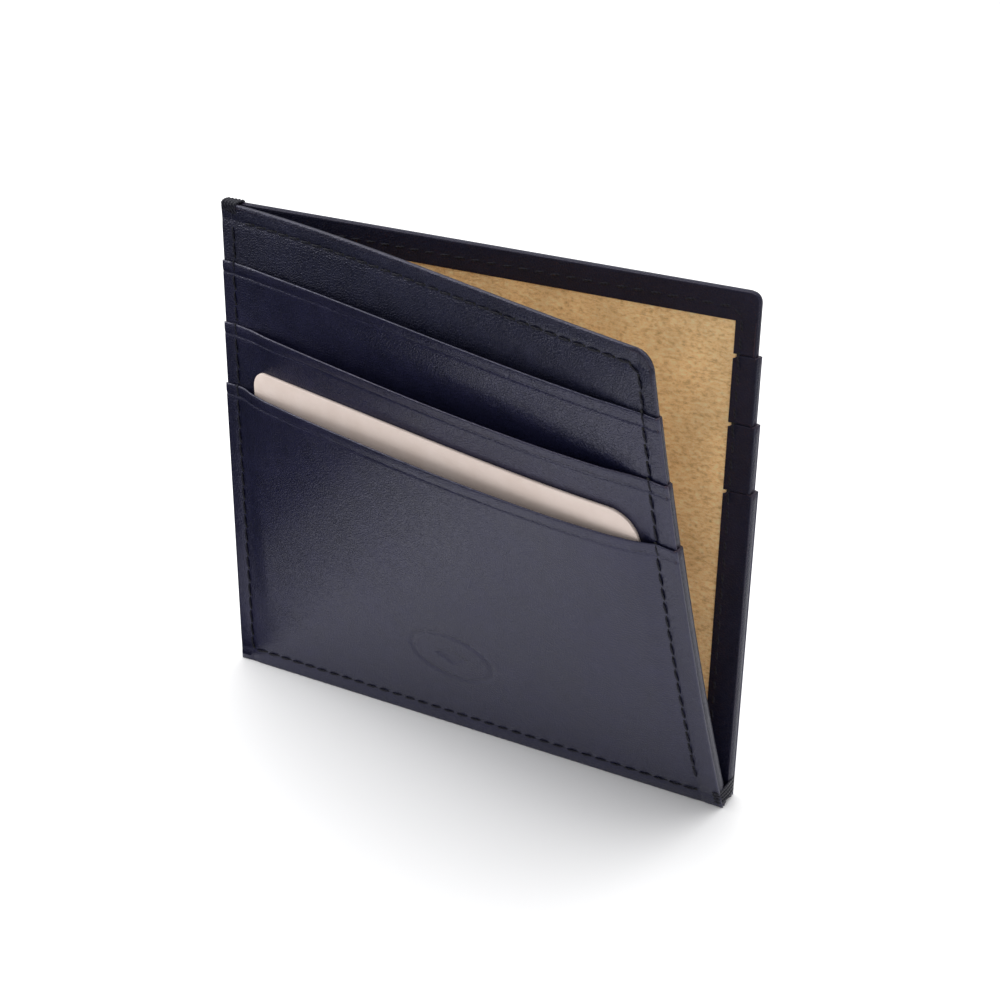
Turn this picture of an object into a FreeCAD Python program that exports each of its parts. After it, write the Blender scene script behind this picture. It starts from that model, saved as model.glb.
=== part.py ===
import FreeCAD, Part
import math
import os

# Card holder: two leather halves sewn together along the left edge and the bottom.
# Millimetres. X right, Y back, Z up. The origin is the middle of the bottom edge,
# on the plane where the two halves meet. The rear half stands flat; the front half
# is sprung forward, so its free top right corner leans away from the rear half.

WIDTH = 100.0
HEIGHT = 90.0
# how the front half stands at rest: its free corner leans forward by LEAN and is drawn
# DRAW to the left and DROP down, and the surface between swells by the three bends
LEAN = 29.4
DRAW = 4.4
DROP = 0.8
UP_BEND = 0.27
ACROSS_BEND = 0.2
SIDE_BEND = 0.25

# heights of the three pocket mouths and of the hidden lower ends of the pockets
MOUTHS = {"upper": 79.7, "middle": 68.5, "lower": 57.1}
FEET = {"upper": 26.0, "middle": 14.0, "lower": 0.0}
# how far each layer stops short of the outermost edge, which makes the edge steps
STEPS = {"body": 1.2, "upper": 0.8, "middle": 0.4, "lower": 0.0}

# thickness of the layers, and where each starts, counted from the seam plane
LINING = 0.4
PANEL = 0.6
LEAF = 0.5
SEWN = {"upper": 1.0, "middle": 1.5, "lower": 2.0}
LOOSE = {"upper": 1.2, "middle": 1.9, "lower": 2.6}
CARD_ROOM = 0.9
# the card pushes the middle and lower front pockets forward by BELLY at mid width
BELLY = 1.8
BELLY_TOP = 60.0
# the mouths bow forward by a gape at mid width, from BOW_START up to the mouth
FRONT_GAPE = {"upper": 1.6, "middle": 1.4, "lower": 1.7}
REAR_GAPE = {"upper": 0.6, "middle": 0.6, "lower": 0.6}
BOW_START = {"upper": 69.5, "middle": 62.5, "lower": 36.0}

EDGE = 4.8
SLOPE = 2.5
MARGIN = 5.0
GRID = 10.0
FRONT_CORNER = 3.0
REAR_CORNER = 1.8

CARD_WIDTH = 85.6
CARD_HEIGHT = 54.0
CARD_THICKNESS = 0.76
CARD_RADIUS = 3.18
CARD_LEFT = 7.2
CARD_FOOT = 7.5
CARD_PLAY = 0.1

STITCH_PITCH = 2.8
STITCH_LENGTH = 2.0
STITCH_WIDTH = 0.5
STITCH_HEIGHT = 0.3
STITCH_INSET = 2.8
# stitches left out where the rear free edge meets a bar tack or a seam
FRONT_SKIPPED = 1
REAR_SKIPPED = 3

TACK_LENGTH = 4.5
TACK_WIDTH = 1.6
TACK_THICKNESS = 0.6
TACK_INSET = 0.4

# half the length of the cutting blocks, well past the whole depth of the object
REACH = 60.0

# the rear half bends along a line between the inner ends of the two bar tacks
FOLD_GAP = 1.0
FOLD_TOP = 4.5
FOLD_FOOT = 5.0


def vector(x, y, z):
    return FreeCAD.Vector(x, y, z)


def lean(across, up):
    """How far the front half leans forward from the seam plane."""
    s = across / WIDTH
    t = up / HEIGHT
    rise = t * (1 + UP_BEND * (1 - t))
    run = s * (1 - ACROSS_BEND * (1 - s) - SIDE_BEND * (1 - s) * (1 - 2 * s))
    return LEAN * rise * run


def belly(across, up):
    return BELLY * math.sin(math.pi * min(1.0, across / WIDTH)) * min(1.0, up / BELLY_TOP)


def no_belly(across, up):
    return 0.0


def on_grid(shape, across, up):
    """A smooth shape read between the nodes of one square grid, so stacked layers agree."""
    low_x = GRID * math.floor(across / GRID)
    low_z = GRID * math.floor(up / GRID)
    u = (across - low_x) / GRID
    v = (up - low_z) / GRID
    near = shape(low_x, low_z) * (1 - u) + shape(low_x + GRID, low_z) * u
    far = shape(low_x, low_z + GRID) * (1 - u) + shape(low_x + GRID, low_z + GRID) * u
    return near * (1 - v) + far * v


def front_place(across, up, out):
    """A point of the sprung front half: mm across, mm up, mm out from its inner face."""
    corner = across / WIDTH * up / HEIGHT
    x = -WIDTH / 2 + across - DRAW * corner
    z = up - DROP * corner
    return vector(x, -on_grid(lean, across, up) - out, z)


def rear_place(across, up, out):
    """A point of the flat rear half."""
    return vector(-WIDTH / 2 + across, out, up)


def patch(a, b, c, d):
    """The ruled face through four corners, a to b along one side and c to d opposite."""
    surface = Part.BSplineSurface()
    surface.buildFromPolesMultsKnots(
        [[a, b], [c, d]], [2, 2], [2, 2], [0, 1], [0, 1], False, False, 1, 1
    )
    return surface.toShape()


def flat(a, b, c, d):
    return Part.Face(Part.makePolygon([a, b, c, d, a]))


def divided(marks):
    """The marks and every line of the square grid that falls between them."""
    first = math.floor(marks[0] / GRID) + 1
    last = math.ceil(marks[-1] / GRID)
    lines = [GRID * k for k in range(first, last)]
    return sorted(marks + [line for line in lines if min(abs(line - m) for m in marks) > 0.01])


def layer(place, columns, rows, out, thickness):
    """A closed sheet over a grid of columns and rows; out(across, up) is its inner face."""
    columns = divided(columns)
    rows = divided(rows)
    inner = [[place(x, z, out(x, z)) for z in rows] for x in columns]
    outer = [[place(x, z, out(x, z) + thickness) for z in rows] for x in columns]
    faces = []
    last_x = len(columns) - 1
    last_z = len(rows) - 1
    for i in range(last_x):
        for j in range(last_z):
            for net in (inner, outer):
                faces.append(patch(net[i][j], net[i][j + 1], net[i + 1][j], net[i + 1][j + 1]))
    for i in range(last_x):
        for j in (0, last_z):
            faces.append(flat(inner[i][j], inner[i + 1][j], outer[i + 1][j], outer[i][j]))
    for j in range(last_z):
        for i in (0, last_x):
            faces.append(flat(inner[i][j], inner[i][j + 1], outer[i][j + 1], outer[i][j]))
    solid = Part.makeSolid(Part.makeShell(faces))
    if solid.Volume < 0:
        solid.reverse()
    return solid


def level(value):
    return lambda across, up: value


def prism(points):
    """A block standing across the whole thickness, with the given outline in x and z."""
    corners = [vector(x, -REACH, z) for x, z in points]
    return Part.Face(Part.makePolygon(corners + corners[:1])).extrude(vector(0, 2 * REACH, 0))


def round_corner(solid, corner, radius):
    """Round the top right corner of a piece, whose sharp corner is at corner (x, z)."""
    x, z = corner
    middle = vector(x - radius, -REACH, z - radius)
    block = Part.makeBox(radius + 2, 2 * REACH, radius + 2, middle)
    rod = Part.makeCylinder(radius, 2 * REACH, middle, vector(0, 1, 0))
    return solid.cut(block.cut(rod))


def pocket_out(name, extra, swell, gape):
    """How far the inner face of a pocket leaf stands out: sewn down at its edges only."""
    right = WIDTH - STEPS[name]
    foot = FEET[name]
    mouth = MOUTHS[name]

    def out(across, up):
        side = min(across, right - across)
        if side <= EDGE or up <= foot + EDGE:
            return SEWN[name]
        middle = math.sin(math.pi * side / right)
        lift = max(0.0, (up - BOW_START[name]) / (mouth - BOW_START[name]))
        return LOOSE[name] + extra + on_grid(swell, across, up) + gape[name] * middle * lift

    return out


def pocket_columns(right):
    inner = EDGE + SLOPE
    span = right - 2 * inner
    return [0.0, EDGE] + [inner + span * k / 4 for k in range(5)] + [right - EDGE, right]


def pocket(place, name, extra, swell, gape):
    """One pocket leaf, with the hem turned in behind its mouth."""
    right = WIDTH - STEPS[name]
    foot = FEET[name]
    rows = [foot, foot + EDGE, foot + EDGE + SLOPE, BOW_START[name], MOUTHS[name]]
    leaf = layer(place, pocket_columns(right), rows, pocket_out(name, extra, swell, gape), LEAF)
    if name != "lower":
        return leaf
    hem = layer(place, [0.0, right], [0.0, EDGE], level(SEWN["upper"]), SEWN["lower"] - SEWN["upper"])
    return leaf.fuse(hem)


def body_panel(place, radius):
    """The panel that carries the pockets, with its top and right edges turned in."""
    right = WIDTH - STEPS["body"]
    sheet = layer(place, [0.0, right], [0.0, HEIGHT], level(LINING), PANEL)
    top = layer(place, [0.0, right], [HEIGHT - MARGIN, HEIGHT], level(0.0), LINING)
    side = layer(place, [right - MARGIN, right], [0.0, HEIGHT - MARGIN], level(0.0), LINING)
    panel = sheet.fuse([top, side])
    tip = place(right, HEIGHT, 0.0)
    return round_corner(panel, (tip.x, tip.z), radius)


def lining(place):
    right = WIDTH - STEPS["body"] - MARGIN
    return layer(place, [0.0, right], [0.0, HEIGHT - MARGIN], level(0.0), LINING)


def surface_out(up):
    """The outermost face of the sewn edge at a height."""
    for name in ("lower", "middle", "upper"):
        if up < MOUTHS[name]:
            return SEWN[name] + LEAF
    return LINING + PANEL


def clear_of_mouths(low, high):
    return all(high < mouth or low > mouth for mouth in MOUTHS.values())


def runs(length):
    count = int(length / STITCH_PITCH)
    first = (length - (count - 1) * STITCH_PITCH - STITCH_LENGTH) / 2
    return [first + k * STITCH_PITCH for k in range(count)]


def upright_stitches(place, across):
    stitches = []
    for low in runs(HEIGHT - 2 * STITCH_INSET):
        low = low + STITCH_INSET
        high = low + STITCH_LENGTH
        if clear_of_mouths(low, high):
            columns = [across - STITCH_WIDTH / 2, across + STITCH_WIDTH / 2]
            stitches.append(layer(place, columns, [low, high], level(surface_out(high)), STITCH_HEIGHT))
    return stitches


def level_stitches(place, up, right):
    stitches = []
    for left in runs(right - 2 * STITCH_INSET):
        left = left + STITCH_INSET
        rows = [up - STITCH_WIDTH / 2, up + STITCH_WIDTH / 2]
        columns = [left, left + STITCH_LENGTH]
        stitches.append(layer(place, columns, rows, level(surface_out(up)), STITCH_HEIGHT))
    return stitches


def joining_stitches(place):
    right = WIDTH - STEPS["body"]
    return upright_stitches(place, STITCH_INSET) + level_stitches(place, STITCH_INSET, right)


def free_edge_stitches(place, skipped):
    right = WIDTH - STEPS["body"]
    top = level_stitches(place, HEIGHT - STITCH_INSET, right)[skipped:]
    return upright_stitches(place, right - STITCH_INSET)[skipped:] + top


def bar_tack(across, up, wide, tall):
    """Thread wrapped over the outer edges where the joining seam ends."""
    columns = [across, across + wide]
    rows = [up, up + tall]
    out = level(surface_out(up))
    pads = [layer(place, columns, rows, out, TACK_THICKNESS) for place in (front_place, rear_place)]
    return Part.makeCompound(pads)


def card():
    """A blank card of the standard bank card size, bent to the twist of its pocket."""
    back = LOOSE["middle"] + LEAF + CARD_PLAY
    columns = [CARD_LEFT, CARD_LEFT + CARD_WIDTH]
    rows = [CARD_FOOT, CARD_FOOT + CARD_HEIGHT]

    def out(across, up):
        return back + on_grid(belly, across, up)

    plate = layer(front_place, columns, rows, out, CARD_THICKNESS)
    corners = []
    for middle_x, middle_z, start in (
        (columns[0] + CARD_RADIUS, rows[0] + CARD_RADIUS, 180),
        (columns[1] - CARD_RADIUS, rows[0] + CARD_RADIUS, 270),
        (columns[1] - CARD_RADIUS, rows[1] - CARD_RADIUS, 0),
        (columns[0] + CARD_RADIUS, rows[1] - CARD_RADIUS, 90),
    ):
        for k in range(9):
            angle = math.radians(start + 90 * k / 8)
            across = middle_x + CARD_RADIUS * math.cos(angle)
            up = middle_z + CARD_RADIUS * math.sin(angle)
            spot = front_place(across, up, 0)
            corners.append((spot.x, spot.z))
    return plate.common(prism(corners))


def fold_side(solid, sign):
    """Keep the part of a rear piece on one side of the fold, leaving the fold's gap."""
    run = WIDTH - FOLD_TOP
    drop = HEIGHT - FOLD_FOOT
    length = math.hypot(run, drop)
    shift_x = sign * drop / length * FOLD_GAP / 2
    shift_z = sign * run / length * FOLD_GAP / 2
    above = (-WIDTH / 2 + FOLD_TOP + shift_x - run, HEIGHT + shift_z + drop)
    below = (WIDTH / 2 + shift_x + run, FOLD_FOOT + shift_z - drop)
    far = (sign * 3 * drop, sign * 3 * run)
    far_below = (below[0] + far[0], below[1] + far[1])
    far_above = (above[0] + far[0], above[1] + far[1])
    return solid.common(prism([above, below, far_below, far_above]))


def save(name, shape):
    shape.exportStep("parts/" + name + ".step")
    print(name, "solids", len(shape.Solids), "volume", round(shape.Volume, 2), shape.isValid())


os.makedirs("parts", exist_ok=True)

save("front_body_panel", body_panel(front_place, FRONT_CORNER))
save("front_lining", lining(front_place))
for pocket_name in MOUTHS:
    room = CARD_ROOM if pocket_name == "lower" else 0.0
    swell = no_belly if pocket_name == "upper" else belly
    save("front_" + pocket_name + "_pocket", pocket(front_place, pocket_name, room, swell, FRONT_GAPE))
save("front_edge_stitching", Part.makeCompound(free_edge_stitches(front_place, FRONT_SKIPPED)))

rear_panel = body_panel(rear_place, REAR_CORNER)
rear_pieces = {"rear_body_panel": rear_panel, "rear_lining": lining(rear_place)}
for pocket_name in MOUTHS:
    rear_pieces["rear_" + pocket_name + "_pocket"] = pocket(rear_place, pocket_name, 0.0, no_belly, REAR_GAPE)
for piece_name, piece in rear_pieces.items():
    save(piece_name + "_seam_side", fold_side(piece, -1))
    save(piece_name + "_free_side", fold_side(piece, 1))
save("rear_edge_stitching", Part.makeCompound(free_edge_stitches(rear_place, REAR_SKIPPED)))

save("joining_seam_front", Part.makeCompound(joining_stitches(front_place)))
save("joining_seam_rear", Part.makeCompound(joining_stitches(rear_place)))
top = HEIGHT - TACK_INSET - TACK_WIDTH
save("bar_tack_top_left", bar_tack(0.0, top, TACK_LENGTH, TACK_WIDTH))
save("bar_tack_bottom_right", bar_tack(WIDTH - TACK_WIDTH, TACK_INSET, TACK_WIDTH, TACK_LENGTH))
save("card", card())
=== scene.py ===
import math
import random

import bmesh
import bpy
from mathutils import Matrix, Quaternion, Vector

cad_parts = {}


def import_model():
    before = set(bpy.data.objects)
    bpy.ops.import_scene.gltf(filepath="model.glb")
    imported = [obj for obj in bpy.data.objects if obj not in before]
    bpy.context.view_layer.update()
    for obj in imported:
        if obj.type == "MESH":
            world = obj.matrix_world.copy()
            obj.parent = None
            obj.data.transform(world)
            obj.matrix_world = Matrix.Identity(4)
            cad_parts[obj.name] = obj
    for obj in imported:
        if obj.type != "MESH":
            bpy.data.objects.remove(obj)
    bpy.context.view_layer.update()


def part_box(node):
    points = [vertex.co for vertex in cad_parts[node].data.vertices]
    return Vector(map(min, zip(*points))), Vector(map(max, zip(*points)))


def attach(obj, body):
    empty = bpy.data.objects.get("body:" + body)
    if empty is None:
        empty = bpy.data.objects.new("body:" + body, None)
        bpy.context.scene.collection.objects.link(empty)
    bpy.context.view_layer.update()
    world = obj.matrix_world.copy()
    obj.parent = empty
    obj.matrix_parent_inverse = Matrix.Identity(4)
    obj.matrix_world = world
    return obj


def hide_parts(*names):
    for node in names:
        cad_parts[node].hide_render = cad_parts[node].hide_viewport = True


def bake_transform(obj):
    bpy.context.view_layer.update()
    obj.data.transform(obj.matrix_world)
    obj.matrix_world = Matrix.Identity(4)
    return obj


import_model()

# ---------------------------------------------------------------- sizes, in millimetres
MM = 0.001
seam_side_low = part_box("rear_lower_pocket_seam_side")[0]
free_side_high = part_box("rear_body_panel_free_side")[1]
WIDTH = 100.0
HEIGHT = round(free_side_high.z / MM, 1)
LEFT = seam_side_low.x / MM

# rest shape of the front half, as in the CAD part: its free corner leans forward and is drawn
# left and down, three bends shape the surface between, and the card behind it swells it
LEAN = 29.4
DRAW = 4.4
DROP = 0.8
UP_BEND = 0.27
ACROSS_BEND = 0.2
SIDE_BEND = 0.25
BELLY = 1.8
BELLY_TOP = 60.0

# pocket mouths, hidden lower ends and edge steps; how far each leaf lies from the seam plane
# where it is sewn and where it is loose; how far its mouth gapes, and where the gape starts
NAMES = ("upper", "middle", "lower")
MOUTHS = {"upper": 79.7, "middle": 68.5, "lower": 57.1}
FEET = {"upper": 26.0, "middle": 14.0, "lower": 0.0}
STEPS = {"body": 1.2, "upper": 0.8, "middle": 0.4, "lower": 0.0}
SEWN = {"upper": 1.0, "middle": 1.5, "lower": 2.0}
LOOSE = {"upper": 1.2, "middle": 1.9, "lower": 2.6}
FRONT_GAPE = {"upper": 1.6, "middle": 1.4, "lower": 1.7}
REAR_GAPE = {"upper": 0.6, "middle": 0.6, "lower": 0.6}
BOW_START = {"upper": 69.5, "middle": 62.5, "lower": 30.0}

# how far inside the stitches and above its foot a leaf comes loose: for the card's room, for
# its own lift, and for its bow
ROOM_SIDE = 4.4
ROOM_UP = 24.0
LIFT_SIDE = 22.0
LIFT_UP = 30.0
BOW_SIDE = 9.0
BOW_POWER = 1.3

# thickness of the layers, the sewn band, the turned-in margins and the rounded edge
LINING = 0.4
PANEL = 0.6
LEAF = 0.5
CARD_ROOM = 0.9
EDGE = 4.0
MARGIN = 5.0
SIDE_MARGIN = 3.9
CORNERS = {"front": 3.0, "rear": 1.8}
RIM_DEPTH = 0.62
MARGIN_OUT = -0.08
MARGIN_THICK = 0.42
MARGIN_BACK = 0.15
NOTCH_WIDE = 1.2
NOTCH_TALL = 1.1
NOTCH_DEEP = 0.6

# the crease under each mouth and the lip above it
CREASE_BELOW = 2.0
CREASE_DEPTH = 0.13
CREASE_WIDTH = 0.22
LIP_HEIGHT = 0.05
LIP_SLOPE = 0.8

# stitches, the two-part groove they pull into the leather (depth, reach), and the bar tacks
STITCH_INSET = 2.8
STITCH_PITCH = 2.8
STITCH_RADIUS = 0.21
STITCH_HALF = 1.16
STITCH_SLANT = 0.13
STITCH_ARCH = 0.24
STITCH_SUNK = 0.22
GROOVES = ((0.16, 0.55), (0.05, 1.5))
MOUTH_NEAR = 1.3
MOUTH_PAST = 1.6
MOUTH_BRIDGE = 0.32
TACK_SIDES = 8
TACK_RINGS = 22
TACK_RADIUS = 0.34

# the plain debossed ornament: its centre, the half axes of its ring, its diamond and its depth
ORNAMENT_UP = 17.0
ORNAMENT_WIDE = 8.5
ORNAMENT_TALL = 4.8
ORNAMENT_DEPTH = 0.2
ORNAMENT_LINE = 0.34
DIAMOND_WIDE = 2.0
DIAMOND_TALL = 1.7

CARD = {"left": 7.6, "foot": 7.5, "width": 85.6, "height": 54.0, "thick": 0.76, "radius": 3.18}
WORN_CORNER = 5.5

# a line between the two bar tacks and a band of this reach either side of it; the rear half is not
# bent along it
FOLD_TOP = 4.5
FOLD_FOOT = 5.0
FOLD_BEFORE = 1.0
FOLD_AFTER = 22.0

# distances of the grid lines from an edge, from an edge with stitches and from a mouth
AT_EDGE = (0, 0.07, 0.18, 0.35, 0.7)
AT_STITCHES = (*AT_EDGE, 1.2, 1.7, 2.1, 2.5, 2.8, 3.1, 3.5, 4.2)
AT_MOUTH = (0, 0.07, 0.18, 0.35, 0.6, 1.0, 1.4, 1.7, 1.85, 2.0, 2.15, 2.3, 2.5, 2.8)
GRID_STEP = 0.9
FIRST_STEP = 0.07
STEP_GROWTH = 1.45

# the right edge in four lengths, each turned in with the layer that is outermost there
SECTIONS = (
    ("body", MOUTHS["upper"], HEIGHT),
    ("upper", MOUTHS["middle"], MOUTHS["upper"]),
    ("middle", MOUTHS["lower"], MOUTHS["middle"]),
    ("lower", 0.3, MOUTHS["lower"]),
)


# ---------------------------------------------------------------- shapes
def smooth(value):
    value = min(1.0, max(0.0, value))
    return value * value * (3 - 2 * value)


def front_place(across, up, out):
    """A point of the sprung front half, in metres in the frame."""
    s = across / WIDTH
    t = up / HEIGHT
    rise = t * (1 + UP_BEND * (1 - t))
    run = s * (1 - ACROSS_BEND * (1 - s) - SIDE_BEND * (1 - s) * (1 - 2 * s))
    x = LEFT + across - DRAW * s * t
    return Vector((x, -LEAN * rise * run - out, up - DROP * s * t)) * MM


def rear_place(across, up, out):
    """A point of the flat rear half, in metres in the frame."""
    return Vector((LEFT + across, out, up)) * MM


def belly(across, up):
    """How far the card pushes the pockets in front of it outwards."""
    share = min(1.0, max(0.0, across / WIDTH))
    return BELLY * math.sin(math.pi * share) * min(1.0, up / BELLY_TOP)


def no_swell(across, up):
    return 0.0


def marks(low, high, fine, coarse, near):
    """Grid lines from low to high: fine steps near the ends, coarse ones between."""
    ends = []
    step = FIRST_STEP
    place = 0.0
    while place < near:
        ends.append(place)
        place += step
        step = min(fine, step * STEP_GROWTH)
    inner = high - low - 2 * place
    count = max(1, round(inner / coarse))
    middle = [low + place + inner * k / count for k in range(count + 1)]
    return [low + e for e in ends] + middle + [high - e for e in reversed(ends)]


def corner_point(across, up, right, top, radius):
    """Pull a square's corner in to a round one of the given radius."""
    if radius == 0 or across <= right - radius or up <= top - radius:
        return across, up
    a = (across - (right - radius)) / radius
    b = (up - (top - radius)) / radius
    round_a = a * math.sqrt(1 - b * b / 2)
    round_b = b * math.sqrt(1 - a * a / 2)
    return right - radius + radius * round_a, top - radius + radius * round_b


def make_object(name, points, faces):
    mesh = bpy.data.meshes.new(name)
    mesh.from_pydata(points, [], faces)
    mesh.validate()
    shape = bmesh.new()
    shape.from_mesh(mesh)
    bmesh.ops.recalc_face_normals(shape, faces=shape.faces)
    shape.to_mesh(mesh)
    shape.free()
    for polygon in mesh.polygons:
        polygon.use_smooth = True
    piece = bpy.data.objects.new(name, mesh)
    bpy.context.scene.collection.objects.link(piece)
    return piece


def sheet_mesh(place, columns, rows, out, thickness, radius=0.0, edge_round=0.0, relief=None):
    """A closed sheet with rounded edges.

    out gives the distance of its inner face, and relief raises or sinks its outer face.
    """
    left, right = columns[0], columns[-1]
    foot, top = rows[0], rows[-1]
    edge_round = edge_round or thickness * 0.6
    points, inner, outer = [], {}, {}
    for i, x in enumerate(columns):
        for j, z in enumerate(rows):
            rim = i in (0, len(columns) - 1) or j in (0, len(rows) - 1)
            across, up = corner_point(x, z, right, top, radius)
            depth = min(across - left, up - foot, right - across, top - up)
            if radius and across > right - radius and up > top - radius:
                reach = math.hypot(across - right + radius, up - top + radius)
                depth = min(depth, radius - reach)
            ratio = min(1.0, max(0.0, depth) / edge_round)
            swell = math.sqrt(max(0.0, 1 - (1 - ratio) ** 2))
            base = out(across, up)
            centre = base + thickness / 2
            if rim:
                inner[i, j] = outer[i, j] = len(points)
                points.append(place(across, up, centre))
                continue
            raised = relief(across, up) if relief else 0.0
            inner[i, j] = len(points)
            points.append(place(across, up, centre - thickness / 2 * swell))
            outer[i, j] = len(points)
            points.append(place(across, up, centre + thickness / 2 * swell + raised))
    faces = []
    for i in range(len(columns) - 1):
        for j in range(len(rows) - 1):
            ring = [(i, j), (i + 1, j), (i + 1, j + 1), (i, j + 1)]
            faces.append([outer[k] for k in ring])
            faces.append([inner[k] for k in reversed(ring)])
    return points, faces


def join(parts):
    points, faces = [], []
    for part_points, part_faces in parts:
        start = len(points)
        points += part_points
        faces += [[start + k for k in face] for face in part_faces]
    return points, faces


# ---------------------------------------------------------------- materials
def node(tree, kind, **settings):
    made = tree.nodes.new(kind)
    for key, value in settings.items():
        if key in made.inputs:
            made.inputs[key].default_value = value
        else:
            setattr(made, key, value)
    return made


def material(name, color, roughness):
    made = bpy.data.materials.new(name)
    made.use_nodes = True
    tree = made.node_tree
    shader = tree.nodes["Principled BSDF"]
    shader.inputs["Base Color"].default_value = (*color, 1)
    shader.inputs["Roughness"].default_value = roughness
    return made, tree, shader


def object_coordinates(tree, stretch=(1, 1, 1)):
    source = node(tree, "ShaderNodeTexCoord")
    mapping = node(tree, "ShaderNodeMapping", Scale=stretch)
    tree.links.new(source.outputs["Object"], mapping.inputs["Vector"])
    return mapping.outputs["Vector"]


def noise(tree, vector, scale, detail=3.0, roughness=0.55):
    made = node(tree, "ShaderNodeTexNoise", Scale=scale, Detail=detail, Roughness=roughness)
    tree.links.new(vector, made.inputs["Vector"])
    return made.outputs["Fac"]


def ramp(tree, value, stops):
    made = node(tree, "ShaderNodeValToRGB")
    elements = made.color_ramp.elements
    while len(elements) < len(stops):
        elements.new(0.5)
    for element, (position, color) in zip(elements, stops):
        element.position = position
        element.color = (*color, 1)
    tree.links.new(value, made.inputs["Fac"])
    return made.outputs["Color"]


def bump(tree, height, strength, distance, below=None):
    made = node(tree, "ShaderNodeBump", Strength=strength, Distance=distance)
    tree.links.new(height, made.inputs["Height"])
    if below is not None:
        tree.links.new(below, made.inputs["Normal"])
    return made.outputs["Normal"]


def leather(name, dark, light, rough_low, rough_high, grain, gloss_level):
    """Polished grain leather: pebbled pores, fine creases, uneven dye and gloss."""
    made, tree, shader = material(name, dark, rough_low)
    vector = object_coordinates(tree)
    cells = node(tree, "ShaderNodeTexVoronoi", feature="DISTANCE_TO_EDGE", Scale=2100.0)
    tree.links.new(vector, cells.inputs["Vector"])
    pebble = ramp(tree, cells.outputs["Distance"], [(0.0, (0, 0, 0)), (0.28, (1, 1, 1))])
    creases = noise(tree, vector, 900.0, 5.0, 0.6)
    clouds = noise(tree, vector, 55.0, 4.0, 0.6)
    mottle = noise(tree, vector, 320.0, 3.0, 0.6)
    tint = ramp(tree, clouds, [(0.3, dark), (0.72, light)])
    fleck = ramp(tree, mottle, [(0.35, (0.82, 0.82, 0.82)), (0.7, (1.1, 1.1, 1.1))])
    mix = node(tree, "ShaderNodeMixRGB", blend_type="MULTIPLY")
    mix.inputs["Fac"].default_value = 1.0
    tree.links.new(tint, mix.inputs["Color1"])
    tree.links.new(fleck, mix.inputs["Color2"])
    worn = node(tree, "ShaderNodeNewGeometry")
    edge = ramp(tree, worn.outputs["Pointiness"], [(0.53, (0, 0, 0)), (0.66, (1, 1, 1))])
    wear = node(tree, "ShaderNodeMixRGB")
    wear.inputs["Color2"].default_value = (0.05, 0.032, 0.045, 1)
    tree.links.new(edge, wear.inputs["Fac"])
    tree.links.new(mix.outputs["Color"], wear.inputs["Color1"])
    tree.links.new(wear.outputs["Color"], shader.inputs["Base Color"])
    gloss = ramp(tree, clouds, [(0.3, (rough_low,) * 3), (0.7, (rough_high,) * 3)])
    tree.links.new(gloss, shader.inputs["Roughness"])
    first = bump(tree, pebble, 0.4 * grain, 0.00013)
    second = bump(tree, creases, 0.4 * grain, 0.00013, first)
    third = bump(tree, clouds, 0.25, 0.0004, second)
    tree.links.new(third, shader.inputs["Normal"])
    shader.inputs["Coat Weight"].default_value = 0.12
    shader.inputs["Coat Roughness"].default_value = 0.18
    shader.inputs["Coat Tint"].default_value = (0.82, 0.80, 1.0, 1)
    shader.inputs["Specular IOR Level"].default_value = gloss_level
    shader.inputs["Specular Tint"].default_value = (0.78, 0.77, 1.0, 1)
    return made


def suede(name):
    """Napped split leather: short clumped fibres, pits darkened with painted shade and lighter
    brushed streaks.
    """
    made, tree, shader = material(name, (0.5, 0.32, 0.15), 0.95)
    vector = object_coordinates(tree)
    streaks = object_coordinates(tree, (0.5, 1, 1.1))
    fibres = noise(tree, streaks, 3600.0, 6.0, 0.7)
    clumps = noise(tree, streaks, 1500.0, 6.0, 0.75)
    clouds = noise(tree, vector, 95.0, 4.0, 0.55)
    pits = node(tree, "ShaderNodeTexVoronoi", Scale=700.0, Randomness=1.0)
    tree.links.new(vector, pits.inputs["Vector"])
    tone = ramp(
        tree, clumps,
        [(0.32, (0.60, 0.365, 0.15)), (0.5, (0.96, 0.655, 0.32)), (0.68, (1.0, 0.86, 0.54))],
    )
    shade = ramp(tree, clouds, [(0.3, (0.84, 0.82, 0.78)), (0.7, (1.08, 1.06, 1.02))])
    # painted shade: the colour darkens towards the middle of each pit
    pit_shade = ramp(tree, pits.outputs["Distance"], [(0.05, (0.62, 0.52, 0.42)), (0.24, (1, 1, 1))])
    first = node(tree, "ShaderNodeMixRGB", blend_type="MULTIPLY")
    first.inputs["Fac"].default_value = 1.0
    second = node(tree, "ShaderNodeMixRGB", blend_type="MULTIPLY")
    second.inputs["Fac"].default_value = 0.55
    tree.links.new(tone, first.inputs["Color1"])
    tree.links.new(shade, first.inputs["Color2"])
    tree.links.new(first.outputs["Color"], second.inputs["Color1"])
    tree.links.new(pit_shade, second.inputs["Color2"])
    tree.links.new(second.outputs["Color"], shader.inputs["Base Color"])
    rough = bump(tree, clumps, 1.0, 0.0005)
    fine = bump(tree, fibres, 1.0, 0.0002, rough)
    tree.links.new(fine, shader.inputs["Normal"])
    shader.inputs["Sheen Weight"].default_value = 0.35
    shader.inputs["Sheen Roughness"].default_value = 0.5
    shader.inputs["Specular IOR Level"].default_value = 0.15
    return made


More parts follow.
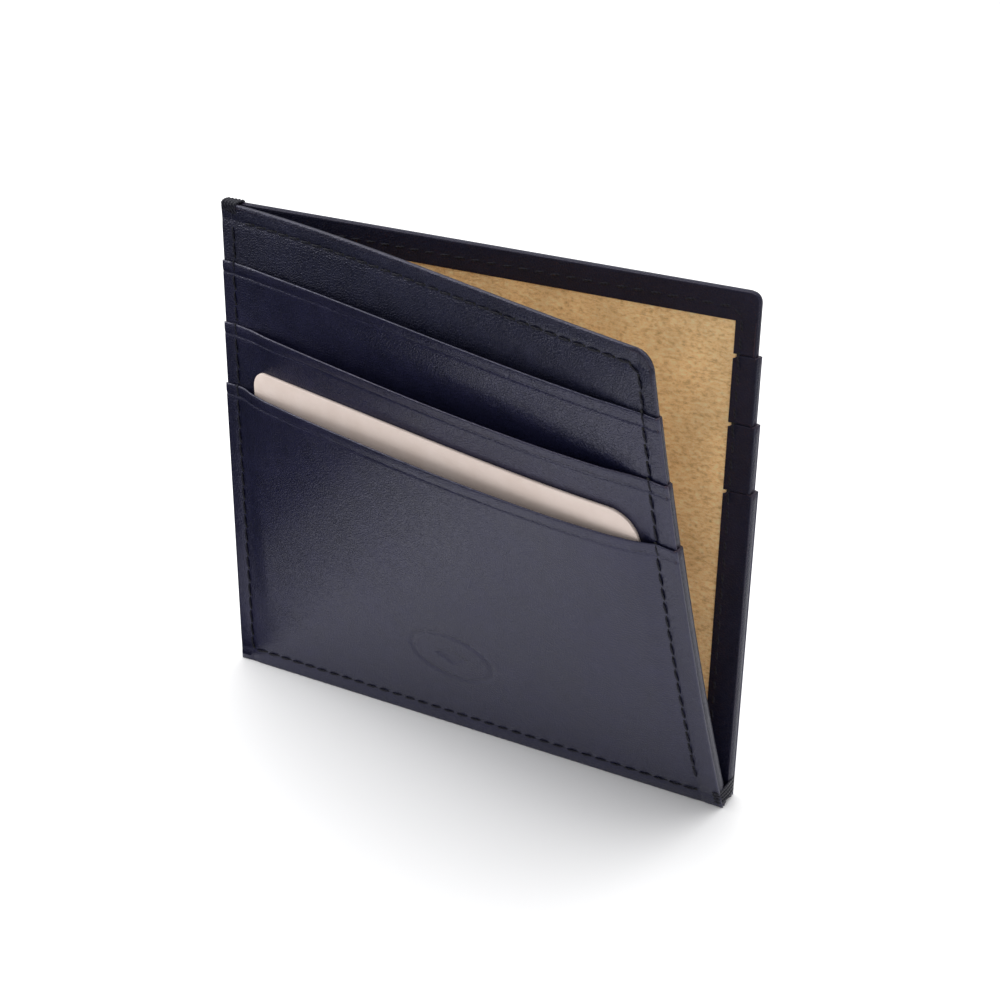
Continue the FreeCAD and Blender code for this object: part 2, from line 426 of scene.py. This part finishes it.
def thread(name, dark, light, roughness):
    """Twisted thread: slanting plies and a fine fuzz, with painted shade in the grooves between
    the plies and lighter crowns.
    """
    made, tree, shader = material(name, dark, roughness)
    vector = object_coordinates(tree)
    plies = node(
        tree, "ShaderNodeTexWave", bands_direction="DIAGONAL", Scale=900.0, Distortion=1.5
    )
    tree.links.new(vector, plies.inputs["Vector"])
    # painted shade: darker in the grooves between the plies, lighter on their crowns, following
    # the bump
    tint = ramp(tree, plies.outputs["Fac"], [(0.2, dark), (0.8, light)])
    tree.links.new(tint, shader.inputs["Base Color"])
    normal = bump(tree, plies.outputs["Fac"], 0.7, 0.00008)
    tree.links.new(normal, shader.inputs["Normal"])
    shader.inputs["Specular IOR Level"].default_value = 0.22
    return made


def card_stock(name):
    """Matt coated card with a faint fibre mottle."""
    made, tree, shader = material(name, (0.78, 0.66, 0.60), 0.5)
    vector = object_coordinates(tree)
    mottle = noise(tree, vector, 240.0, 4.0, 0.6)
    fine = noise(tree, vector, 2400.0, 3.0, 0.6)
    tint = ramp(tree, mottle, [(0.3, (0.66, 0.545, 0.485)), (0.7, (0.71, 0.60, 0.545))])
    tree.links.new(tint, shader.inputs["Base Color"])
    tree.links.new(bump(tree, fine, 0.15, 0.00003), shader.inputs["Normal"])
    return made


LEATHER_SMOOTH = leather(
    "navy_leather_smooth", (0.0062, 0.0070, 0.0205), (0.0098, 0.0098, 0.031), 0.28, 0.37, 0.9, 0.56
)
LEATHER_GRAINED = leather(
    "navy_leather_grained", (0.0050, 0.0060, 0.0165), (0.0088, 0.0098, 0.026), 0.32, 0.42, 1.4, 0.5
)
LEATHER_EDGE = leather(
    "navy_leather_edge", (0.0036, 0.0041, 0.0130), (0.0066, 0.0070, 0.021), 0.42, 0.5, 1.2, 0.22
)
SUEDE = suede("tan_suede")
THREAD = thread("stitching_thread", (0.0025, 0.0025, 0.006), (0.010, 0.010, 0.020), 0.6)
# painted shade: a near-black colour for the shade inside the needle holes
HOLE_SHADE = material("needle_hole_shade", (0.0008, 0.0008, 0.0014), 0.9)[0]
TACK = thread("bar_tack_thread", (0.0030, 0.0030, 0.0075), (0.011, 0.011, 0.021), 0.5)
CARD_STOCK = card_stock("blank_card")


# ---------------------------------------------------------------- leather pieces
def stitch_groove(distance):
    """The shallow channel that the tight thread pulls into the leather."""
    return -sum(depth * math.exp(-(distance / reach) ** 2) for depth, reach in GROOVES)


def panel_relief(right, top):
    def relief(across, up):
        sides = [right - STITCH_INSET - across, top - STITCH_INSET - up]
        sides += [across - STITCH_INSET, up - STITCH_INSET]
        return sum(stitch_groove(d) for d in sides if abs(d) < 3)

    return relief


def lower_ornament(across, up):
    """A plain debossed oval ring with a small diamond in it."""
    x = across - WIDTH / 2
    z = up - ORNAMENT_UP
    ring = (math.hypot(x / ORNAMENT_WIDE, z / ORNAMENT_TALL) - 1) * ORNAMENT_TALL
    diamond = abs(x) / DIAMOND_WIDE + abs(z) - DIAMOND_TALL
    depth = ORNAMENT_DEPTH * math.exp(-(ring / ORNAMENT_LINE) ** 2)
    return -depth - ORNAMENT_DEPTH * smooth(-diamond / 0.5 + 0.5)


def pocket_relief(name, ornament):
    right = WIDTH - STEPS[name]
    mouth = MOUTHS[name]

    def relief(across, up):
        below = mouth - up
        height = -CREASE_DEPTH * math.exp(-((below - CREASE_BELOW) / CREASE_WIDTH) ** 2)
        lip = smooth((below - 0.2) / LIP_SLOPE) * smooth((CREASE_BELOW - below) / LIP_SLOPE)
        height += LIP_HEIGHT * lip
        height += stitch_groove(across - STITCH_INSET)
        height += stitch_groove(WIDTH - STEPS["body"] - STITCH_INSET - across)
        if name == "lower":
            height += stitch_groove(up - STITCH_INSET)
        if ornament:
            height += lower_ornament(across, up)
        return height

    return relief


def pocket_out(name, extra, swell, gape):
    """The inner face of a leaf: sewn at the sides, loose between, pushed out by the card."""
    right = WIDTH - STEPS[name]
    mouth = MOUTHS[name]
    foot = FEET[name]

    def out(across, up):
        side = min(across, right - across) - STITCH_INSET
        above = up - foot - EDGE
        quick = smooth((side - 0.8) / ROOM_SIDE) * smooth(above / ROOM_UP)
        slow = smooth(side / LIFT_SIDE) * smooth(above / LIFT_UP)
        middle = math.sin(math.pi * min(1.0, max(0.0, across / right)))
        lift = max(0.0, (up - BOW_START[name]) / (mouth - BOW_START[name])) ** BOW_POWER
        rise = extra * quick + (LOOSE[name] - SEWN[name]) * slow
        loose = smooth((side - 0.4) / BOW_SIDE)
        bow = (swell(across, up) + gape[name] * middle * lift) * loose
        return SEWN[name] + rise + bow

    return out


def pocket_rows(foot, mouth, ornament):
    """Rows that are close together at both ends, along the stitch line and at the crease."""
    first = foot + 4.2
    last = mouth - 3.2
    count = round((last - first) / GRID_STEP)
    rows = [foot + d for d in AT_STITCHES] + [mouth - d for d in AT_MOUTH]
    rows += [first + (last - first) * k / count for k in range(1, count + 1)]
    if ornament:
        half = ORNAMENT_TALL + 1.2
        rows = [z for z in rows if abs(z - ORNAMENT_UP) > half]
        rows += [ORNAMENT_UP + half * (k / 24 - 1) for k in range(49)]
    return sorted(rows)


def sewn_columns(right, ornament):
    """Columns that are close together at the edges and along the two stitch lines."""
    line = right - (WIDTH - STEPS["body"] - STITCH_INSET)
    at_line = [line + d for d in (-1, -0.6, -0.3, 0, 0.3, 0.6, 1.2)]
    first = 4.6
    last = right - 5.6
    count = round((right - 10) / GRID_STEP)
    columns = [*AT_STITCHES, *(right - d for d in (*AT_EDGE, *at_line))]
    columns += [first + (last - first) * k / count for k in range(count + 1)]
    if ornament:
        half = ORNAMENT_WIDE + 1.2
        columns = [x for x in columns if abs(x - WIDTH / 2) > half]
        columns += [WIDTH / 2 + half * (k / 38 - 1) for k in range(77)]
    return sorted(columns)


def pocket(place, side, name, extra, swell, gape, ornament):
    """One pocket leaf; the lower one also has a hem that fills the sewn edge behind its foot."""
    right = WIDTH - STEPS[name]
    columns = sewn_columns(right, ornament)
    rows = pocket_rows(FEET[name], MOUTHS[name], ornament)
    out = pocket_out(name, extra, swell, gape)
    relief = pocket_relief(name, ornament)
    parts = [sheet_mesh(place, columns, rows, out, LEAF, 0.0, 0.34, relief)]
    if name == "lower":
        columns = marks(0.0, right, 0.5, 4.0, 1.0)
        rows = marks(0.0, EDGE, 0.3, 0.6, 0.7)
        parts.append(sheet_mesh(place, columns, rows, lambda x, z: SEWN["upper"], 1.0))
    piece = make_object(side + "_" + name + "_pocket_leather", *join(parts))
    piece.data.materials.append(LEATHER_SMOOTH)
    return piece


def body_panel(place, side):
    right = WIDTH - STEPS["body"]
    relief = panel_relief(right, HEIGHT)
    columns = sewn_columns(right, False)
    rows = sorted(HEIGHT - z for z in pocket_rows(0.0, HEIGHT, False))
    sheet = sheet_mesh(
        place, columns, rows, lambda x, z: LINING, PANEL, CORNERS[side], 0.36, relief
    )
    piece = make_object(side + "_body_panel_leather", *sheet)
    piece.data.materials.append(LEATHER_GRAINED)
    return piece


def turned_margin(place, side):
    """The edges turned in over the lining: one strip along the top and four down the side."""
    body_right = WIDTH - STEPS["body"]
    top_rows = marks(HEIGHT - MARGIN, HEIGHT - MARGIN_BACK, 0.3, 0.7, 1.0)
    top_columns = marks(0.2, body_right - MARGIN_BACK, 0.5, 2.0, 3.0)
    strips = [(top_columns, top_rows, CORNERS[side] - MARGIN_BACK, False)]
    for name, low, high in SECTIONS:
        right = WIDTH - STEPS[name]
        columns = marks(body_right - SIDE_MARGIN, right - MARGIN_BACK, 0.3, 0.7, 1.0)
        lap = 1.0 - MARGIN if name == "body" else 0.0
        strips.append((columns, marks(low + 0.04, high + lap, 0.3, 1.5, 0.8), 0.0, True))
    parts = []
    for columns, rows, radius, upright in strips:
        high = rows[-1]
        inner = columns[0]

        def notched(across, up, out, high=high, inner=inner):
            if high > MOUTHS["upper"] + 1:
                return place(across, up, out + 0.03)
            inner_edge = smooth((inner + NOTCH_WIDE - across) / NOTCH_WIDE)
            end = max(0.0, 1 - (high - up) / NOTCH_TALL)
            return place(across, up - NOTCH_DEEP * inner_edge * end, out)

        chosen = notched if upright else place
        out = lambda x, z: MARGIN_OUT
        parts.append(sheet_mesh(chosen, columns, rows, out, MARGIN_THICK, radius, 0.22))
    piece = make_object(side + "_turned_margin", *join(parts))
    piece.data.materials.append(LEATHER_EDGE)
    return piece


def swept_rim(place, path, inner, outer):
    """A rounded edge from the inner to the outer face of the layers.

    path is a list of (across, up, outward x, outward z).
    """
    sides = 11
    middle = (inner + outer) / 2
    half = (outer - inner) / 2
    points = []
    for across, up, away_x, away_z in path:
        for k in range(sides):
            angle = math.pi * (k / (sides - 1) - 0.5)
            back = RIM_DEPTH * (1 - math.cos(angle))
            out = middle + half * math.sin(angle)
            points.append(place(across - away_x * back, up - away_z * back, out))
    faces = []
    for i in range(len(path) - 1):
        for k in range(sides):
            a = i * sides + k
            b = i * sides + (k + 1) % sides
            faces.append([a, b, b + sides, a + sides])
    faces.append(list(range(sides)))
    faces.append([(len(path) - 1) * sides + k for k in range(sides)])
    return points, faces


def rounded_rim(place, side):
    """The turned edges as one rounded lip: along the top, round the corner and down the side."""
    radius = CORNERS[side]
    right = WIDTH - STEPS["body"]
    first = 3.0
    last = right - radius
    top_steps = 40
    turn_steps = 12
    path = []
    for k in range(top_steps):
        path.append((first + (last - first) * k / top_steps, HEIGHT, 0.0, 1.0))
    for k in range(turn_steps + 1):
        angle = math.pi / 2 * (1 - k / turn_steps)
        away_x, away_z = math.cos(angle), math.sin(angle)
        path.append((last + radius * away_x, HEIGHT - radius + radius * away_z, away_x, away_z))
    parts = []
    for name, low, high in SECTIONS:
        edge = WIDTH - STEPS[name]
        start = high - radius if name == "body" else high
        count = max(4, round((start - low) / 1.5))
        down = [(edge, start + (low - start) * k / count, 1.0, 0.0) for k in range(count + 1)]
        outer = LINING + PANEL if name == "body" else SEWN[name] + LEAF
        line = path + down[1:] if name == "body" else down
        parts.append(swept_rim(place, line, MARGIN_OUT, outer))
    piece = make_object(side + "_rounded_rim", *join(parts))
    piece.data.materials.append(LEATHER_EDGE)
    return piece


def lining(place, side):
    """The suede sheet, gently uneven, tucked 0.6 mm under the turned-in margins."""
    right = WIDTH - STEPS["body"] - SIDE_MARGIN + 0.6

    def out(across, up):
        waves = 0.05 * math.sin(across * 0.31 + 1.3 * math.sin(up * 0.11))
        return 0.12 + waves + 0.04 * math.sin(up * 0.37)

    columns = marks(1.4, right, 0.4, 1.2, 1.0)
    rows = marks(1.4, HEIGHT - MARGIN + 0.6, 0.4, 1.2, 1.0)
    sheet = sheet_mesh(place, columns, rows, out, 0.26, 0.0, 0.12)
    piece = make_object(side + "_suede_lining", *sheet)
    piece.data.materials.append(SUEDE)
    return piece


def dyed_edge():
    """The dyed edge between the two halves along the seam at the left and at the bottom."""
    narrow = marks(0.06, 1.5, 0.2, 0.4, 0.4)
    up_the_side = marks(0.06, HEIGHT - 0.2, 0.5, 3.0, 0.6)
    along_the_foot = marks(1.3, WIDTH - 1.4, 0.5, 3.0, 0.6)
    parts = [
        sheet_mesh(rear_place, columns, rows, lambda x, z: -0.5, 1.0, 0.0, 0.45)
        for columns, rows in ((narrow, up_the_side), (along_the_foot, narrow))
    ]
    piece = make_object("dyed_seam_edge", *join(parts))
    piece.data.materials.append(LEATHER_SMOOTH)
    return piece


# ---------------------------------------------------------------- thread
def outer_face(up):
    for name in ("lower", "middle", "upper"):
        if up < MOUTHS[name]:
            return SEWN[name] + LEAF
    return LINING + PANEL


def stitch(place, start, end, out, radius, arch):
    """One stitch: a bowed strand between two needle holes."""
    rings, sides = 9, 8
    points, faces = [], []
    run = Vector((end[0] - start[0], end[1] - start[1]))
    across_dir = Vector((-run.y, run.x)).normalized()
    for i in range(rings):
        t = i / (rings - 1)
        bow = math.sin(math.pi * t)
        width = radius * (0.55 + 0.45 * math.sqrt(max(0.0, bow)))
        middle = Vector(start) + run * t
        lift = out - STITCH_SUNK + arch * math.sqrt(max(0.0, bow))
        for k in range(sides):
            angle = 2 * math.pi * k / sides
            spot = middle + across_dir * width * math.cos(angle)
            points.append(place(spot.x, spot.y, lift + 0.7 * width * math.sin(angle)))
    for i in range(rings - 1):
        for k in range(sides):
            a = i * sides + k
            b = i * sides + (k + 1) % sides
            faces.append([a, b, b + sides, a + sides])
    faces.append(list(range(sides))[::-1])
    faces.append(list(range((rings - 1) * sides, rings * sides)))
    return points, faces


def hole(place, spot, out):
    """The dark dimple where the needle went in; its near-black colour is painted shade."""
    sides = 10
    points = [place(spot[0], spot[1], out + 0.004)]
    for reach, lift in ((0.22, 0.012), (0.30, -0.06)):
        for k in range(sides):
            angle = 2 * math.pi * k / sides
            x = spot[0] + reach * math.cos(angle)
            z = spot[1] + reach * math.sin(angle)
            points.append(place(x, z, out + lift))
    faces = []
    for k in range(sides):
        a = 1 + k
        b = 1 + (k + 1) % sides
        faces.append([0, a, b])
        faces.append([a, a + sides, b + sides, b])
    return points, faces


def stitch_line(place, start, end, out_of, seed):
    """Stitches at one pitch from start to end, each slightly slanted."""
    draw = random.Random(seed)
    length = math.dist(start, end)
    count = max(1, int(length / STITCH_PITCH))
    along = ((end[0] - start[0]) / length, (end[1] - start[1]) / length)
    side = (-along[1], along[0])
    threads, holes = [], []
    for k in range(count):
        centre = (k + 0.5) * length / count
        half = min(STITCH_HALF, 0.47 * length / count) + draw.uniform(-0.04, 0.04)
        slant = STITCH_SLANT + draw.uniform(-0.03, 0.03)
        ends = []
        for sign in (-1, 1):
            reach = centre + sign * half
            x = start[0] + along[0] * reach + side[0] * slant * sign
            z = start[1] + along[1] * reach + side[1] * slant * sign
            ends.append((x, z))
        middle = (ends[0][1] + ends[1][1]) / 2
        near_mouth = any(abs(middle - mouth) < MOUTH_NEAR for mouth in MOUTHS.values())
        if near_mouth and abs(along[1]) > 0.5:
            out = min(out_of(middle - MOUTH_PAST), out_of(middle + MOUTH_PAST)) + MOUTH_BRIDGE
        else:
            out = out_of(middle)
        threads.append(stitch(place, ends[0], ends[1], out, STITCH_RADIUS, STITCH_ARCH))
        holes.append(hole(place, ends[1], out - 0.14))
    return threads, holes


def stitching(place, side, lines, suffix, out_of):
    threads, holes = [], []
    for index, (start, end) in enumerate(lines):
        made = stitch_line(place, start, end, out_of, index + 7)
        threads += made[0]
        holes += made[1]
    piece = make_object(side + "_" + suffix, *join(threads))
    piece.data.materials.append(THREAD)
    # painted shade of the needle holes, as small dark dimples
    dimples = make_object(side + "_" + suffix + "_needle_hole_shade", *join(holes))
    dimples.data.materials.append(HOLE_SHADE)
    return piece, dimples


def tack_turn(across, up, wide, tall, share, upright):
    """The middle line of one turn of thread, through both halves and round their edges."""
    face = outer_face(up) + 0.02
    path = []
    for i in range(TACK_RINGS):
        turn = 2 * math.pi * i / TACK_RINGS
        reach = 0.5 - 0.5 * math.cos(turn)
        deep = math.copysign(abs(math.sin(turn)) ** 0.45, math.sin(turn))
        if upright:
            x = across - wide + reach * (wide + 0.05)
            z = up + share * tall
        else:
            x = across + share * wide
            z = up - tall + reach * (tall + 0.2)
        place = front_place if deep > 0 else rear_place
        path.append(place(x, z, abs(deep) * (face - 0.25 * (1 - reach))))
    return path


def closed_tube(path, along, radius, sides):
    """A closed ring of thread around a path, whose turns lie side by side along one direction."""
    rings = len(path)
    middle = sum(path, Vector()) / rings
    points, faces = [], []
    for spot in path:
        outward = (spot - middle).normalized()
        for k in range(sides):
            angle = 2 * math.pi * k / sides
            offset = outward * math.cos(angle) + along * math.sin(angle)
            points.append(spot + offset * radius * MM)
    for i in range(rings):
        after = (i + 1) % rings
        for k in range(sides):
            beside = (k + 1) % sides
            near = [i * sides + k, i * sides + beside]
            faces.append(near + [after * sides + beside, after * sides + k])
    return points, faces


def bar_tack(name, across, up, wide, tall, turns, upright):
    """Dense thread wrapped over the edge, through both halves."""
    along = Vector((0, 0, 1)) if upright else Vector((1, 0, 0))
    parts = []
    for k in range(turns):
        path = tack_turn(across, up, wide, tall, (k + 0.5) / turns, upright)
        parts.append(closed_tube(path, along, TACK_RADIUS, TACK_SIDES))
    piece = make_object(name, *join(parts))
    piece.data.materials.append(TACK)
    return piece


# ---------------------------------------------------------------- card
def card():
    columns = marks(CARD["left"], CARD["left"] + CARD["width"], 0.4, 1.5, CARD["radius"] + 0.4)
    rows = marks(CARD["foot"], CARD["foot"] + CARD["height"], 0.4, 1.5, CARD["radius"] + 0.4)
    right, top, radius = columns[-1], rows[-1], CARD["radius"]
    left, foot = columns[0], rows[0]

    def place(across, up, out):
        """A point of the card with its four corners rounded, the top right one more."""
        mirrored_x = left + right - across
        mirrored_z = foot + top - up
        x, z = corner_point(across, up, right, top, WORN_CORNER)
        if mirrored_x > right - radius:
            x2, z2 = corner_point(mirrored_x, up, right, top, radius)
            x, z = left + right - x2, z2
            if mirrored_z > top - radius:
                x2, z2 = corner_point(mirrored_x, mirrored_z, right, top, radius)
                x, z = left + right - x2, foot + top - z2
        elif mirrored_z > top - radius:
            x2, z2 = corner_point(across, mirrored_z, right, top, radius)
            x, z = x2, foot + top - z2
        return front_place(x, z, out)

    middle_out = pocket_out("middle", 0.0, belly, FRONT_GAPE)

    def out(across, up):
        behind = middle_out(across, min(up, BOW_START["middle"])) + LEAF
        return max(1.2, behind - 0.06 * max(0, 14 - up))

    mesh = sheet_mesh(place, columns, rows, out, CARD["thick"], 0.0, 0.14)
    piece = make_object("blank_card_piece", *mesh)
    piece.data.materials.append(CARD_STOCK)
    return piece


# ---------------------------------------------------------------- assembly
ROOT = "front_and_seams"


def fold_points():
    """Two points either side of the fold line, where its band starts and where it ends."""
    run = WIDTH - FOLD_TOP
    drop = HEIGHT - FOLD_FOOT
    length = math.hypot(run, drop)
    normal = Vector((drop / length, 0.0, run / length)) * MM
    on_fold = rear_place(FOLD_TOP, HEIGHT, 0.0)
    return on_fold - normal * FOLD_BEFORE, on_fold + normal * FOLD_AFTER


FOLD_START, FOLD_END = fold_points()


def bend_rear(piece):
    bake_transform(piece)
    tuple(FOLD_START)
    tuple(FOLD_END)


right_line = WIDTH - STEPS["body"] - STITCH_INSET
top_line = HEIGHT - STITCH_INSET
seam_lines = [
    ((STITCH_INSET, top_line - 1.0), (STITCH_INSET, STITCH_INSET)),
    ((STITCH_INSET + 0.6, STITCH_INSET), (WIDTH - 4.2, STITCH_INSET)),
]
free_lines = [
    ((right_line, 6.2), (right_line, top_line - 1.3)),
    ((right_line - 0.15, top_line - 1.3), (right_line - 1.3, top_line - 0.15)),
    ((5.6, top_line), (right_line - 1.3, top_line)),
]

for side, place, extra, gape in (
    ("front", front_place, CARD_ROOM, FRONT_GAPE),
    ("rear", rear_place, 0.0, REAR_GAPE),
):
    front = side == "front"
    panel = body_panel(place, side)
    margin = turned_margin(place, side)
    rim = rounded_rim(place, side)
    suede_sheet = lining(place, side)
    leaves = {}
    for name in NAMES:
        room = extra if name == "lower" else 0.0
        swell = belly if front and name != "upper" else no_swell
        ornament = front and name == "lower"
        leaves[name] = pocket(place, side, name, room, swell, gape, ornament)
    edge_thread, edge_holes = stitching(place, side, free_lines, "edge_thread", outer_face)
    seam_thread, seam_holes = stitching(place, side, seam_lines, "joining_thread", outer_face)
    inner_thread, inner_holes = stitching(
        lambda x, z, out, place=place: place(x, z, -out), side, free_lines, "inner_edge_thread",
        lambda up: 0.06,
    )
    moving = [panel, margin, rim, suede_sheet, *leaves.values()]
    moving += [edge_thread, edge_holes, inner_thread, inner_holes]
    for piece in moving:
        if front:
            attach(piece, ROOT)
        else:
            bend_rear(piece)
    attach(seam_thread, ROOT)
    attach(seam_holes, ROOT)
    ends = ("",) if front else ("_seam_side", "_free_side")
    for end in ends:
        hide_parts(side + "_body_panel" + end)
        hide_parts(side + "_lining" + end)
        for name in NAMES:
            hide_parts(side + "_" + name + "_pocket" + end)
    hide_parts(side + "_edge_stitching")
    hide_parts("joining_seam_" + side)

edge_strip = dyed_edge()
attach(edge_strip, ROOT)

top_tack = bar_tack("bar_tack_top", 0.3, HEIGHT, 3.6, 1.7, 5, False)
low_tack = bar_tack("bar_tack_bottom", WIDTH, 0.9, 1.7, 3.2, 4, True)
for piece, cad_node in ((top_tack, "bar_tack_top_left"), (low_tack, "bar_tack_bottom_right")):
    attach(piece, ROOT)
    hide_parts(cad_node)

blank = card()
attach(blank, "card")
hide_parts("card")


# ---------------------------------------------------------------- stage
def floor():
    size = 3.0
    corners = [(-size, -size, 0), (size, -size, 0), (size, size, 0), (-size, size, 0)]
    piece = make_object("studio_floor", corners, [[0, 1, 2, 3]])
    made, _, shader = material("studio_floor", (0.93, 0.93, 0.935), 0.6)
    shader.inputs["Specular IOR Level"].default_value = 0.2
    piece.data.materials.append(made)


def soft_light(name, location, target, size, size_y, energy):
    data = bpy.data.lights.new(name, "AREA")
    data.shape = "RECTANGLE"
    data.size = size
    data.size_y = size_y
    data.energy = energy
    lamp = bpy.data.objects.new(name, data)
    lamp.location = location
    direction = Vector(target) - Vector(location)
    lamp.rotation_euler = direction.to_track_quat("-Z", "Y").to_euler()
    bpy.context.scene.collection.objects.link(lamp)


def camera():
    """A long lens, 25 degrees above the table and 29 degrees round to the right."""
    azimuth = math.radians(28.59)
    elevation = math.radians(25.2)
    roll = math.radians(0.76)
    distance = 0.2940
    shift_right = 0.0045
    shift_down = 0.0003
    target = Vector((0.0, 0.0, 0.045))
    data = bpy.data.cameras.new("camera")
    data.sensor_width = 36.0
    data.lens = 61.8
    piece = bpy.data.objects.new("camera", data)
    back = Vector((
        math.sin(azimuth) * math.cos(elevation),
        -math.cos(azimuth) * math.cos(elevation),
        math.sin(elevation),
    ))
    turn = (-back).to_track_quat("-Z", "Y")
    right = turn @ Vector((1, 0, 0))
    up = turn @ Vector((0, 1, 0))
    piece.rotation_mode = "QUATERNION"
    piece.rotation_quaternion = turn @ Quaternion(Vector((0, 0, 1)), roll)
    piece.location = target + back * distance + right * shift_right - up * shift_down
    bpy.context.scene.collection.objects.link(piece)
    bpy.context.scene.camera = piece


def world():
    made = bpy.data.worlds.new("studio")
    made.use_nodes = True
    background = made.node_tree.nodes["Background"]
    background.inputs["Color"].default_value = (1, 1, 1, 1)
    background.inputs["Strength"].default_value = 0.72
    bpy.context.scene.world = made


def black_flag():
    """A black card on the floor at the left, that only the leather's reflections see."""
    beside_seam = (-0.047, -0.009)
    notch = (-0.088, -0.030)
    before_seam = (-0.058, -0.050)
    near_left, near_right = (-1.2, -0.7), (-0.052, -0.7)
    far_left, far_right = (-1.2, 0.3), (-0.09, 0.3)
    outline = [beside_seam, notch, before_seam, near_right, near_left, far_left, far_right]
    above_floor = 0.001
    corners = [(x, y, above_floor) for x, y in outline]
    piece = make_object("black_flag", corners, [list(range(len(corners)))])
    made, _, shader = material("black_flag", (0.01, 0.01, 0.012), 0.9)
    shader.inputs["Specular IOR Level"].default_value = 0.0
    piece.data.materials.append(made)
    piece.visible_camera = False
    piece.visible_shadow = False
    piece.visible_diffuse = False


floor()
black_flag()
world()
camera()
soft_light("top_softbox", (-0.05, 0.25, 0.9), (0, 0, 0.0), 1.0, 1.0, 8.0)
soft_light("left_softbox", (-0.7, -0.1, 0.5), (0, 0, 0.04), 0.5, 0.5, 3.0)
bpy.context.scene.view_settings.view_transform = "Standard"
